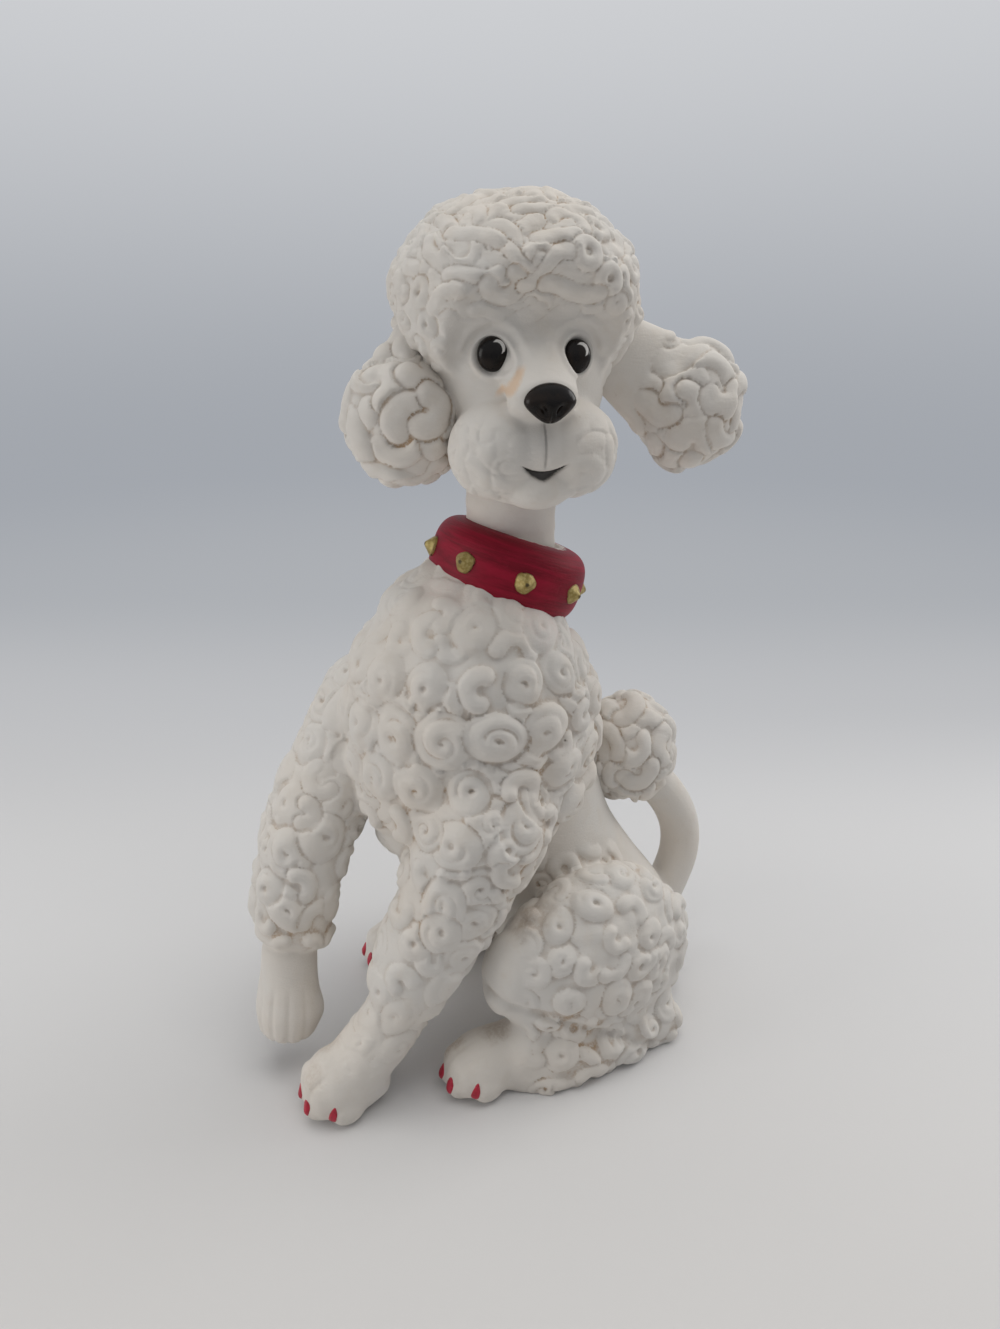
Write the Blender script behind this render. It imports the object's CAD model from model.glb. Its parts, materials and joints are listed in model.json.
import json
import math

import bpy
import numpy as np
from mathutils import Euler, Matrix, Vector
from mathutils.bvhtree import BVHTree

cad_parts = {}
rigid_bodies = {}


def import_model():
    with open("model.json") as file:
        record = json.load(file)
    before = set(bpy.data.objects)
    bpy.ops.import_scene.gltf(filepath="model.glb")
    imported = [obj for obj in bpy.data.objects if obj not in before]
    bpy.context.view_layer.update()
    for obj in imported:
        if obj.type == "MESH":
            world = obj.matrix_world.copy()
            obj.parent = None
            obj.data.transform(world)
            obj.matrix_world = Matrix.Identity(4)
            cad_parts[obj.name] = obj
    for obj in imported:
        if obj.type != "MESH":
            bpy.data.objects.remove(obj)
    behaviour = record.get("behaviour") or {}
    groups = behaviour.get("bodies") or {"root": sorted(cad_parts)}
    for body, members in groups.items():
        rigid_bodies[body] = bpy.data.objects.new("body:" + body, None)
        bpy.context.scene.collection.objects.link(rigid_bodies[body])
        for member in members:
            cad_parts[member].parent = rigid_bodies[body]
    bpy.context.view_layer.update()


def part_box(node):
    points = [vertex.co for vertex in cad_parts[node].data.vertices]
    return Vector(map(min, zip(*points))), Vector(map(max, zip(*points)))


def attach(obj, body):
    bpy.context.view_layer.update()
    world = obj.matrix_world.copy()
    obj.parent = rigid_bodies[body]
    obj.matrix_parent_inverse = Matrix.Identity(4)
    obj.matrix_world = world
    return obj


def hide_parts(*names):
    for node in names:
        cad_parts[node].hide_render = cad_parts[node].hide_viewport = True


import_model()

for item in [item for item in bpy.data.objects if item.name in ("Cube", "Light", "Camera")]:
    bpy.data.objects.remove(item)

# The figurine's own frame: its neck stands on the Z axis, it faces -Y, and sizes are millimetres.
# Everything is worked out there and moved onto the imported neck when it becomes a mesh.
MM = 0.001
neck_low, neck_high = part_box("neck")
figurine_origin = np.array([neck_low.x + neck_high.x, neck_low.y + neck_high.y, 0.0]) / 2


def on_row(points):
    """Points in the figurine's millimetres, scaled and moved into the row frame in metres."""
    return np.asarray(points, float) * MM + figurine_origin


def linked(name, data):
    """A new object in the scene."""
    item = bpy.data.objects.new(name, data)
    bpy.context.scene.collection.objects.link(item)
    return item


# Camera: it stands off the figurine's left front, at about the height of its forehead, and
# looks down at it, as in the photograph.
CAMERA_PLACE = (319.2, -153.2, 302.0)
CAMERA_TURN = 65.0
CAMERA_PITCH = 21.7
FOCAL_PIXELS = 965.0
TALL_PIXELS = 1329.0

camera = linked("camera", bpy.data.cameras.new("camera"))
camera.location = Vector(on_row(CAMERA_PLACE))
camera.rotation_euler = Euler((math.radians(90 - CAMERA_PITCH), 0, math.radians(CAMERA_TURN)))
camera.data.sensor_fit = "VERTICAL"
camera.data.sensor_height = camera.data.sensor_width
camera.data.lens = camera.data.sensor_height * FOCAL_PIXELS / TALL_PIXELS
camera.data.clip_start = 0.01
bpy.context.scene.camera = camera


# Light tent: a pale floor inside a dome of thin white cloth, lit evenly from outside, with
# softboxes over, before and behind the figurine. The dome only shows: its light is the world's.
class Wire:
    """An output of a node tree. Arithmetic on it adds Math nodes."""

    def __init__(self, tree, socket=None):
        self.tree = tree
        self.socket = socket

    def node(self, kind, wires, output=0, **settings):
        """The output of a new node of any kind, with its inputs given by name or number."""
        node = self.tree.nodes.new(kind)
        for key, value in settings.items():
            setattr(node, key, value)
        for key, value in wires.items():
            if isinstance(value, Wire):
                self.tree.links.new(value.socket, node.inputs[key])
            else:
                node.inputs[key].default_value = value
        return Wire(self.tree, node.outputs[output])

    def maths(self, operation, *others):
        return self.node("ShaderNodeMath", dict(enumerate((self, *others))), operation=operation)

    def __add__(self, other):
        return self.maths("ADD", other)

    def __mul__(self, other):
        return self.maths("MULTIPLY", other)

    def __sub__(self, other):
        return self.maths("SUBTRACT", other)

    def __rsub__(self, other):
        return self * -1 + other

    def __truediv__(self, other):
        return self.maths("DIVIDE", other)

    __radd__ = __add__
    __rmul__ = __mul__

    def between(self, low, high):
        """0 below low, 1 above high, and an S curve between them. Low may be the higher."""
        wires = {"Value": self, "From Min": low, "From Max": high}
        return self.node("ShaderNodeMapRange", wires, interpolation_type="SMOOTHSTEP")

    def blend(self, first, second):
        """The first colour where this is 0 and the second where it is 1."""
        return self.node("ShaderNodeMix", {0: self, 6: first, 7: second}, 2, data_type="RGBA")

    def vector_maths(self, operation, wires, output=0):
        """The output of a Vector Math node whose first input this is."""
        return self.node("ShaderNodeVectorMath", {0: self, **wires}, output, operation=operation)

    def place(self):
        """The place on the object, in millimetres."""
        return self.node("ShaderNodeTexCoord", {}, "Object").vector_maths("SCALE", {3: 1 / MM})

    def attribute(self, name):
        return self.node("ShaderNodeAttribute", {}, "Fac", attribute_name=name)

    def coordinate(self, axis):
        return self.node("ShaderNodeSeparateXYZ", {0: self}, axis)

    def stretched(self, by):
        return self.vector_maths("MULTIPLY", {1: by})

    def noise(self, size, detail=2.0, roughness=0.5):
        """Noise at this place, in waves about as long as the size."""
        wires = {"Vector": self, "Scale": 1 / size, "Detail": detail, "Roughness": roughness}
        return self.node("ShaderNodeTexNoise", wires)

    def along(self, way, start):
        """How far this place lies along a direction from a start in the figurine's millimetres."""
        away = self.vector_maths("SUBTRACT", {1: tuple(on_row(start) / MM)})
        return away.vector_maths("DOT_PRODUCT", {1: way}, "Value")

    def distance(self, spot):
        """How far this place is from a spot given in the figurine's millimetres."""
        return self.vector_maths("DISTANCE", {1: tuple(on_row(spot) / MM)}, "Value")


def new_material(name):
    """A material with its main shader node and a wire to start from."""
    material = bpy.data.materials.new(name)
    material.use_nodes = True
    return material, material.node_tree.nodes["Principled BSDF"], Wire(material.node_tree)


def feed(shader, **wires):
    """Links wires to the shader's inputs, or sets plain values there."""
    for key, value in wires.items():
        socket = shader.inputs[key.replace("_", " ")]
        if isinstance(value, Wire):
            value.tree.links.new(value.socket, socket)
        else:
            socket.default_value = value


def bumps(height, distance, strength=1.0):
    """Normals of a height wire whose full range stands that many millimetres proud."""
    wires = {"Height": height, "Distance": distance * MM, "Strength": strength}
    return height.node("ShaderNodeBump", wires)


def full_turn(count):
    """Angles of points spaced evenly round a circle."""
    return np.linspace(0, 2 * math.pi, count, endpoint=False)


def on_ball(rise, turn):
    """Points of a ball of radius 1 in rings, one for each angle above its middle, with a point
    at each turn: (cos rise * cos turn, cos rise * sin turn, sin rise)."""
    rise = rise[:, None]
    return np.stack([np.cos(rise) * np.cos(turn), np.cos(rise) * np.sin(turn), np.sin(rise) + 0 * turn], -1)


def cloth_seen(cloth, place):
    """How the camera sees the cloth: how far behind the figurine and how far from it a place
    is, which rays see the cloth glow, and its glow. That is a light band where the cloth begins
    to sweep up behind the figurine, then darker, and paler again overhead."""
    turn = math.radians(CAMERA_TURN)
    behind = place.stretched((-math.sin(turn), math.cos(turn), 0))
    behind = behind.coordinate("X") + behind.coordinate("Y")
    away = place.distance((0, 0, 0))
    colour = behind.between(250, 620).blend((0.52, 0.525, 0.54, 1), (0.42, 0.435, 0.46, 1))
    colour = away.between(560, 1400).blend(colour, (0.365, 0.385, 0.42, 1))
    colour = place.coordinate("Z").between(0, 900).blend(colour, (0.64, 0.65, 0.67, 1))
    shown = cloth.node("ShaderNodeLightPath", {}, "Is Camera Ray")
    shown = shown + cloth.node("ShaderNodeLightPath", {}, "Is Glossy Ray")
    shown = shown + cloth.node("ShaderNodeLightPath", {}, "Is Transmission Ray")
    glow = cloth.node("ShaderNodeEmission", {"Color": colour, "Strength": 1.0})
    return behind, away, shown, glow


def surface(material, shown):
    """Gives the wire of a shader to the material's output."""
    material.node_tree.links.new(shown.socket, material.node_tree.nodes["Material Output"].inputs["Surface"])


TENT_RADIUS, TENT_SIDES = 1600.0, 96
floor_rim = TENT_RADIUS * on_ball(np.zeros(1), full_turn(TENT_SIDES))[0]
floor_mesh = bpy.data.meshes.new("tent_floor")
floor_mesh.from_pydata(on_row(floor_rim).tolist(), [], [list(range(TENT_SIDES))])
floor_material, floor_shader, wire = new_material("tent_floor")
behind, away, shown, glow = cloth_seen(wire, wire.place())
cloth = behind.between(-260, 120).blend((0.74, 0.725, 0.715, 1), (0.74, 0.74, 0.75, 1))
weave = wire.place().noise(0.9, 2)
feed(floor_shader, Base_Color=cloth, Roughness=0.9, Specular_IOR_Level=0.1, Normal=bumps(weave, 0.1, 0.3))
swept = behind.between(90, 330).maths("MAXIMUM", away.between(700, 1100)) * shown
lit = Wire(wire.tree, floor_shader.outputs["BSDF"])
surface(floor_material, wire.node("ShaderNodeMixShader", {0: swept, 1: lit, 2: glow}))
floor_mesh.materials.append(floor_material)
floor = linked("tent_floor", floor_mesh)


def grid_faces(rows, around, closed_rows=False):
    """Quads of rows of points that each close on themselves, the last row on the first if asked."""
    index = np.arange(rows * around).reshape(rows, around)
    low = index if closed_rows else index[:-1]
    high = np.roll(index, -1, 0) if closed_rows else index[1:]
    return np.stack([low, np.roll(low, -1, 1), np.roll(high, -1, 1), high], -1).reshape(-1, 4)


# The dome reaches a little below the floor
DOME_ROWS, DOME_FOOT = 24, -0.02
dome_points = TENT_RADIUS * on_ball(np.linspace(DOME_FOOT, math.pi / 2, DOME_ROWS), full_turn(TENT_SIDES))
dome_faces = grid_faces(DOME_ROWS, TENT_SIDES)
dome_mesh = bpy.data.meshes.new("tent_dome")
dome_mesh.from_pydata(on_row(dome_points.reshape(-1, 3)).tolist(), [], dome_faces.tolist())
dome_mesh.shade_smooth()
dome_material, dome_shader, wire = new_material("tent_dome")
_, _, shown, glow = cloth_seen(wire, wire.place())
dome_clear = wire.node("ShaderNodeBsdfTransparent", {})
surface(dome_material, wire.node("ShaderNodeMixShader", {0: shown, 1: dome_clear, 2: glow}))
dome_material.node_tree.nodes.remove(dome_shader)
dome_mesh.materials.append(dome_material)
dome = linked("tent_dome", dome_mesh)

world = bpy.data.worlds.new("tent_light")
world.use_nodes = True
world.node_tree.nodes["Background"].inputs["Color"].default_value = (0.93, 0.96, 1.0, 1)
world.node_tree.nodes["Background"].inputs["Strength"].default_value = 0.25
bpy.context.scene.world = world


def softbox(name, place, aim, size, power, colour):
    """A square area lamp that looks at a point."""
    lamp = linked(name, bpy.data.lights.new(name, "AREA"))
    lamp.data.size = size * MM
    lamp.data.energy = power
    lamp.data.color = colour
    lamp.location = Vector(on_row(place))
    away = Vector(on_row(aim)) - lamp.location
    lamp.rotation_euler = away.to_track_quat("-Z", "Y").to_euler()


softbox("top_softbox", (40, 160, 1900), (0, 0, 120), 1700, 18.5, (1.0, 0.985, 0.955))
softbox("front_softbox", (-120, -880, 300), (0, 0, 110), 500, 2.1, (1.0, 0.975, 0.94))
softbox("back_softbox", (66, 852, 560), (0, 0, 110), 500, 2.3, (1.0, 0.98, 0.95))
bpy.context.scene.view_settings.view_transform = "Standard"


# Coat: the front half of the body is one slip-cast shell of curls over chest, shoulders and
# forelegs. The curls were modelled by hand in the master: flat rosettes with a pit, a spiral or
# a C pressed into them, and bent ropes among them, each laid over those before it.
def catmull_rom(knots, share):
    """Rows of values at shares of the way along a smooth curve through the knots.

    Between two knots the curve is the cubic whose slope at each is half the difference of the
    knots beside it."""
    knots = np.asarray(knots, float)
    ends = np.vstack([2 * knots[0] - knots[1], knots, 2 * knots[-1] - knots[-2]])
    along = np.clip(share, 0, 1) * (len(knots) - 1)
    first = np.minimum(along.astype(int), len(knots) - 2)
    t = (along - first)[:, None]
    a, b, c, d = (ends[first + i] for i in range(4))
    return 0.5 * (2 * b + (c - a) * t + (2 * a - 5 * b + 4 * c - d) * t**2 + (3 * b - a - 3 * c + d) * t**3)


DOME_STEPS = 11


def loft(stations, dome=0.5, around=96, rows=90, side=(1, 0, 0)):
    """Rings of points over elliptical sections along a smooth spine, domed at both ends.

    A station is (x, y, z, half width, half depth). The width lies along side as far as the
    spine lets it. A dome is a quarter ellipse as tall as its share of the end's smaller half."""
    quarter = np.linspace(0, math.pi / 2, DOME_STEPS, endpoint=False)
    share = np.concatenate([np.zeros(DOME_STEPS), np.linspace(0, 1, rows), np.ones(DOME_STEPS)])
    push = np.concatenate([-np.cos(quarter), np.zeros(rows), np.cos(quarter)[::-1]])
    shrink = np.concatenate([np.sin(quarter), np.ones(rows), np.sin(quarter)[::-1]])
    values = catmull_rom(stations, share)
    step = 1e-3
    ahead = catmull_rom(stations, share + step)[:, :3] - catmull_rom(stations, share - step)[:, :3]
    ahead /= np.linalg.norm(ahead, axis=1, keepdims=True)
    across = np.asarray(side, float) - (ahead @ side)[:, None] * ahead
    across /= np.linalg.norm(across, axis=1, keepdims=True)
    up = np.cross(ahead, across)
    tall = dome * values[:, 3:].min(axis=1)
    centre = values[:, :3] + ahead * (push * tall)[:, None]
    turn = full_turn(around)
    wide = (values[:, 3] * shrink)[:, None] * np.cos(turn)
    deep = (values[:, 4] * shrink)[:, None] * np.sin(turn)
    return centre[:, None] + wide[..., None] * across[:, None] + deep[..., None] * up[:, None]


def even_share(stations, share):
    """Where along the spine a share of its length falls, as a share of its knots."""
    knots = np.linspace(0, 1, 400)
    spots = catmull_rom(stations, knots)[:, :3]
    length = np.concatenate([[0], np.cumsum(np.linalg.norm(np.diff(spots, axis=0), axis=1))])
    return float(np.interp(share * length[-1], length, knots))


def away_from(points, spot):
    """How far each point is from a spot."""
    return np.linalg.norm(points - spot, axis=-1)


def clumped(rings, stations, rows, per_row, reach, tall, rest):
    """Rings of a loft with low domes of clay in rows along it, each row half a dome on from
    the last: tall * (sqrt(1 - (away / reach)^2) - rest) outwards from the middle of each ring."""
    middles = []
    for row in range(rows):
        x, y, z, wide, deep = catmull_rom(stations, np.array([even_share(stations, (row + 1 / 3) / rows)]))[0]
        turn = (np.arange(per_row) + row % 2 / 2) / per_row * 2 * math.pi
        middles.append(np.stack([x + wide * np.cos(turn), y + deep * np.sin(turn), z + 0 * turn], 1))
    middles = np.concatenate(middles)
    away = np.min([away_from(rings, middle) for middle in middles], axis=0)
    dome = np.sqrt(np.maximum(0, 1 - (away / reach) ** 2))
    out = rings - rings.mean(axis=1, keepdims=True)
    out /= np.maximum(np.linalg.norm(out, axis=-1, keepdims=True), 1e-6)
    return rings + out * (tall * (dome - rest))[..., None], middles


def limb(start, end, width, depth, rows):
    """Stations between two points, from rows of shares: how far along, the bow forward and up
    as a share of the length, and the width and depth as shares of the full ones."""
    start, end = np.asarray(start, float), np.asarray(end, float)
    run = end - start
    aside = np.array([1.0, 0, 0]) - run * run[0] / (run @ run)
    bow = np.cross(run, aside / np.linalg.norm(aside))
    return [
        (*(start + along * run + bent * bow), wide * width / 2, deep * depth / 2)
        for along, bent, wide, deep in rows
    ]


def egg(centre, size, around=96, rows=60):
    """Rings of points over an ellipsoid of full sizes (width, depth, height) about a centre."""
    ball = on_ball(np.linspace(-math.pi / 2, math.pi / 2, rows), full_turn(around))
    return np.asarray(centre, float) + ball * np.asarray(size, float) / 2


# A lobe reaches a little past its own part of the ball, which is about 2 / sqrt(lobes) wide
LOBE_REACH = 1.15


def lobed(centre, size, lobes, swell, around=160, rows=110):
    """An egg that swells by a share towards each of its lobes, which lie on a golden spiral."""
    number = np.arange(lobes)
    rise = 1 - (2 * number + 1) / lobes
    turn = number * math.pi * (3 - math.sqrt(5))
    reach = np.sqrt(1 - rise**2)
    middles = np.stack([reach * np.cos(turn), reach * np.sin(turn), rise], 1)
    ball = egg((0, 0, 0), (2, 2, 2), around, rows)
    away = np.arccos(np.clip((ball @ middles.T).max(-1), -1, 1)) / (LOBE_REACH * 2 / math.sqrt(lobes))
    grown = 1 - swell + swell * np.sqrt(np.maximum(0, 1 - away**2))
    return np.asarray(centre, float) + ball * grown[..., None] * np.asarray(size, float) / 2


def mirrored(rings):
    """The same rings on the other side of the median plane, still turning the same way."""
    return (rings * (-1, 1, 1))[:, ::-1]


def pole_mesh(rings):
    """Points and faces of rings whose first and last have shrunk to a point."""
    rows, around = rings.shape[:2]
    points = np.vstack([rings[:1, 0], rings[1:-1].reshape(-1, 3), rings[-1:, 0]])
    quads = grid_faces(rows - 2, around) + 1
    first = np.arange(around) + 1
    last = first + (rows - 3) * around
    cap = [[0, b, a] for a, b in zip(first.tolist(), np.roll(first, -1).tolist())]
    top = len(points) - 1
    cup = [[top, a, b] for a, b in zip(last.tolist(), np.roll(last, -1).tolist())]
    return points, quads.tolist() + cap + cup


def new_mesh(name, points, faces):
    mesh = bpy.data.meshes.new(name)
    mesh.from_pydata(on_row(points).tolist(), [], faces)
    return mesh


def fused(forms, voxel):
    """The forms run together into one closed skin of quads with edges about a voxel long.

    Gives its points in the figurine's millimetres and its faces."""
    points, faces = [], []
    count = 0
    for form in forms:
        form_points, form_faces = pole_mesh(form)
        points.append(form_points)
        faces += [[corner + count for corner in face] for face in form_faces]
        count += len(form_points)
    rough = linked("rough", new_mesh("rough", np.concatenate(points), faces))
    remesh = rough.modifiers.new("remesh", "REMESH")
    remesh.mode = "VOXEL"
    remesh.voxel_size = voxel * MM * 1
    skin = rough.evaluated_get(bpy.context.evaluated_depsgraph_get()).to_mesh()
    places = np.empty(len(skin.vertices) * 3, np.float32)
    skin.vertices.foreach_get("co", places)
    corners = np.empty(len(skin.loops), np.int32)
    skin.loops.foreach_get("vertex_index", corners)
    bpy.data.objects.remove(rough)
    return (places.reshape(-1, 3) - figurine_origin) / MM, corners.reshape(-1, 4)


class Skin:
    """A closed skin of quads, with what is needed to smooth it and to carve it."""

    def __init__(self, forms, voxel):
        self.points, self.faces = fused(forms, voxel)
        self.count = len(self.points)
        self.near = np.concatenate([self.faces.ravel(), np.roll(self.faces, -1, 1).ravel()])
        self.far = np.concatenate([np.roll(self.faces, -1, 1).ravel(), self.faces.ravel()])
        self.degree = np.bincount(self.near, minlength=self.count)

    def spread(self, values):
        """The mean of the values at each point's neighbours."""
        return np.bincount(self.near, weights=values[self.far], minlength=self.count) / self.degree

    def drift(self):
        """For each point, the way to the middle of its neighbours."""
        return np.stack([self.spread(self.points[:, k]) for k in range(3)], 1) - self.points

    def normals(self):
        """Unit normals at the points: sums of the crossed diagonals of the faces about each."""
        a, b, c, d = (self.points[self.faces[:, k]] for k in range(4))
        face = np.cross(c - a, d - b)
        corners = self.faces.T.ravel()
        sums = [np.bincount(corners, np.tile(face[:, k], 4), self.count) for k in range(3)]
        total = np.stack(sums, 1)
        return total / np.maximum(np.linalg.norm(total, axis=1, keepdims=True), 1e-12)

    def soften(self, values, rounds):
        """The values, spread over the skin for a number of rounds."""
        for _ in range(rounds):
            values = self.spread(values)
        return values

    def even_normals(self, rounds=12):
        """Normals of the skin as if its small bumps were gone."""
        normals = self.normals()
        even = np.stack([self.soften(normals[:, k], rounds) for k in range(3)], 1)
        return even / np.linalg.norm(even, axis=1, keepdims=True)

    def relax(self, rounds, weight):
        """Moves each point towards the middle of its neighbours by its own weight."""
        weight = np.broadcast_to(weight, self.count)[:, None]
        for _ in range(rounds):
            self.points += weight * self.drift()

    def fill(self, rounds, weight):
        """Fills creases: a point moves only where the middle of its neighbours lies outside."""
        for _ in range(rounds):
            normals = self.normals()
            out = np.maximum((self.drift() * normals).sum(1), 0)
            self.points += (weight * out)[:, None] * normals

    def swell(self, height):
        """Moves each point out along its normal."""
        self.points += self.normals() * height[:, None]

    def dress(self, relief, height, sink):
        """Raises the skin by a share of a coat of curls whose foot is sunk into it. Gives how
        deep each point lies between the curls, for the grime."""
        self.swell(relief * (height - sink))
        return relief * (self.soften(height, 12) - height)

    def stand(self):
        """Cuts the skin flat where it stands on the floor."""
        self.points[:, 2] = np.maximum(self.points[:, 2], 0)


def between(values, low, high):
    """0 below low, 1 above high, and an S curve between them."""
    t = np.clip((values - low) / (high - low), 0, 1)
    return t * t * (3 - 2 * t)


def bell(values, width):
    """1 at 0, falling off to both sides: exp(-(value / width)^2)."""
    return np.exp(-((values / width) ** 2))


def scatter(points, spacing, rng, taken=()):
    """Indices of points picked one by one, each about the furthest from those before it and
    from the spots already taken, until none is further than the spacing."""
    pool = rng.choice(len(points), min(len(points), 9000), replace=False)
    favour = rng.uniform(0.75, 1.25, len(pool))
    gap = np.full(len(pool), np.inf)
    for spot in taken:
        gap = np.minimum(gap, away_from(points[pool], spot))
    pick = int(np.argmax(gap * favour))
    picks = []
    while gap[pick] > spacing:
        picks.append(pool[pick])
        gap = np.minimum(gap, away_from(points[pool], points[pool[pick]]))
        pick = int(np.argmax(gap * favour))
    return np.array(picks)


def spun(flat, angle):
    """Points of a plane turned clockwise by an angle."""
    cos, sin = math.cos(angle), math.sin(angle)
    return flat @ np.array([[cos, -sin], [sin, cos]])


def local_plane(points, normals, centre, normal, reach, turn):
    """The points within reach of a centre that face its way, and their two coordinates on the
    plane there, stretched so that their distance from the centre is kept."""
    away = points - centre
    distance = np.linalg.norm(away, axis=1)
    near = np.flatnonzero(distance < reach)
    near = near[normals[near] @ normal > 0]
    helper = np.array([0.0, 0, 1]) if abs(normal[2]) < 0.9 else np.array([0.0, 1, 0])
    across = np.cross(helper, normal)
    across /= np.linalg.norm(across)
    up = np.cross(normal, across)
    flat = np.stack([away[near] @ across, away[near] @ up], 1)
    flat *= (distance[near] / np.maximum(np.linalg.norm(flat, axis=1), 1e-6))[:, None]
    return near, spun(flat, turn)


# The height of a curl where it has no clay
BARE = -9.0


def rosette(flat, radius, tall, rng):
    """Height over the plane of a flat snail curl: a steep-sided disc of clay rope that is coiled
    round a pit and leans to one side. Between the turns of the rope is a groove: all the way
    round, or in a C."""
    hand = rng.choice([-1, 1])
    wide = rng.uniform(4.8, 7.6)
    groove_depth = rng.uniform(0.35, 0.65)
    whole = rng.uniform() < 0.35
    lean = rng.uniform(-1.2, 1.2, 2)
    pit_place = rng.normal(0, 0.10 * radius, 2)
    pit_depth = rng.uniform(0.8, 2.0)
    stretch = rng.uniform(0.85, 1.2)
    flat = flat * (stretch, 1 / stretch)
    distance = np.linalg.norm(flat, axis=1)
    angle = hand * np.arctan2(flat[:, 1], flat[:, 0])
    share = distance / radius
    disc = np.maximum(1 - share**2.5, 0) ** 0.68
    turns = distance / wide - angle / (2 * math.pi)
    crest = 2 * abs(turns - np.round(turns))
    cut = (1 - np.minimum(crest / 0.62, 1)) ** 1.6 * between(-share, -0.97, -0.82)
    if not whole:
        cut *= between(np.cos(angle), -0.6, 0.3)
    pit = bell(away_from(flat, pit_place), 0.16 * radius)
    height = tall * disc * (1 - groove_depth * cut) - pit_depth * pit + flat @ lean / radius
    return np.where(share < 1, height, BARE)


def ring_curl(flat, radius, tall):
    """Height over the plane of a rope of clay closed to a ring round a hole."""
    away = abs(np.linalg.norm(flat, axis=1) - 0.58 * radius) / (0.42 * radius)
    return np.where(away < 1, tall * np.sqrt(np.maximum(1 - away**2.2, 0)), BARE)


def curl_line(length, first_bend, last_bend, count=16):
    """Points along a line whose bend eases from the first to the last, in radians per mm. Its
    ends lie level, and its middle at the origin."""
    along = np.linspace(0, length, count)
    heading = first_bend * along + (last_bend - first_bend) * along**2 / (2 * length)
    steps = np.stack([np.cos(heading), np.sin(heading)], 1)[:-1] * (length / (count - 1))
    line = np.vstack([[0.0, 0.0], np.cumsum(steps, 0)])
    chord = line[-1] - line[0]
    line = spun(line, math.atan2(chord[1], chord[0]))
    return line - (line.max(0) + line.min(0)) / 2


def from_line(flat, line):
    """How far points of a plane are from a line of short runs, and which run is the nearest."""
    start, run = line[:-1], np.diff(line, axis=0)
    away = flat[:, None] - start
    share = np.clip((away * run).sum(-1) / (run * run).sum(-1), 0, 1)
    distance = np.linalg.norm(away - share[..., None] * run, axis=-1)
    nearest = distance.argmin(1)
    return distance[np.arange(len(flat)), nearest], nearest


def rope(flat, line, half, tall, droop=0.35):
    """Height over the plane of a rope of clay laid along the line: a flattened half round,
    tall * (1 - (away / half)^2.6)^0.6, that slopes down towards the line's tail."""
    distance, nearest = from_line(flat, line)
    least = distance / half
    slope = 1 - droop * nearest / (len(line) - 1)
    return np.where(least < 1, tall * slope * np.maximum(1 - least**2.6, 0) ** 0.6, BARE)


def bent_rope(flat, rng, bends, lengths, halves, tall, size=1.0):
    """Height of a C of clay that is bent to either hand. Its bend, length and half width are
    drawn from ranges."""
    bend = rng.choice([-1, 1]) * rng.uniform(*bends)
    line = curl_line(size * rng.uniform(*lengths), bend, bend)
    return rope(flat, line, size * rng.uniform(*halves), tall)


def ripple(points, size, rng, count=9):
    """A slow unevenness between about -1 and 1: a sum of waves in random directions."""
    ways = rng.normal(size=(count, 3))
    ways *= (2 * math.pi / (size * rng.uniform(0.7, 1.5, count)) / np.linalg.norm(ways, axis=1))[:, None]
    return np.sin(points @ ways.T + rng.uniform(0, 6.3, count)).sum(1) / math.sqrt(count)


# How far a curl's middle may be from the spot it is kept for, and how many spacings apart two
# such curls are at least, how many spacings a curl reaches at most, and how much of the carving
# a wet brush softens in the end
KEPT_WITHIN, KEPT_APART, CURL_REACH, SOFTENED = 6, 1.35, 2.6, 0.35


def carve(
    skin, chosen, spacing, make_curl, rng, turn_spread=math.pi, overlap=0.8, crack=1.3, bed=1.0, kept_for=()
):
    """Height of a coat of curls over every point of the skin, which begins as a bed of clay.

    The curls are laid one after another. Each hides what it covers, but its edge sinks by no
    more than a crack below what lies there, and each is raised by its share of the overlap.
    Those on the spots that they are kept for come last, and stand free of each other."""
    normals = skin.even_normals()
    places = np.flatnonzero(chosen)
    spots = skin.points[places]
    kept = []
    for spot in rng.permutation(np.asarray(kept_for, float).reshape(-1, 3)):
        nearest = int(away_from(spots, spot).argmin())
        apart = min([away_from(spots[nearest], spots[other]) for other in kept], default=math.inf)
        if away_from(spots[nearest], spot) < KEPT_WITHIN and apart > KEPT_APART * spacing:
            kept.append(nearest)
    between_them = rng.permutation(scatter(spots, spacing, rng, spots[kept]))
    height = np.full(skin.count, float(bed))
    for pick in places[np.concatenate([between_them, kept]).astype(int)]:
        turn = rng.uniform(-turn_spread, turn_spread) + math.pi * rng.integers(2)
        centre = skin.points[pick]
        near, flat = local_plane(skin.points, normals, centre, normals[pick], CURL_REACH * spacing, turn)
        curl = make_curl(flat, centre, rng)
        laid = np.maximum(curl + rng.uniform(0, overlap), height[near] - crack)
        height[near] = np.where(curl > BARE, laid, height[near])
    return (1 - SOFTENED) * height + SOFTENED * skin.soften(height, 2)


def piece(name, points, faces, material, slot, nodes, **attributes):
    """A smooth mesh of points in the figurine's millimetres, riding on the body in place of
    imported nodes."""
    mesh = new_mesh(name, points, faces)
    mesh.shade_smooth()
    for key, values in attributes.items():
        layer = mesh.attributes.new(key, "FLOAT", "POINT")
        layer.data.foreach_set("value", np.asarray(values, np.float32))
    mesh.materials.append(material)
    item = linked(name, mesh)
    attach(item, "root")
    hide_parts(*nodes)
    return item


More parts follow.
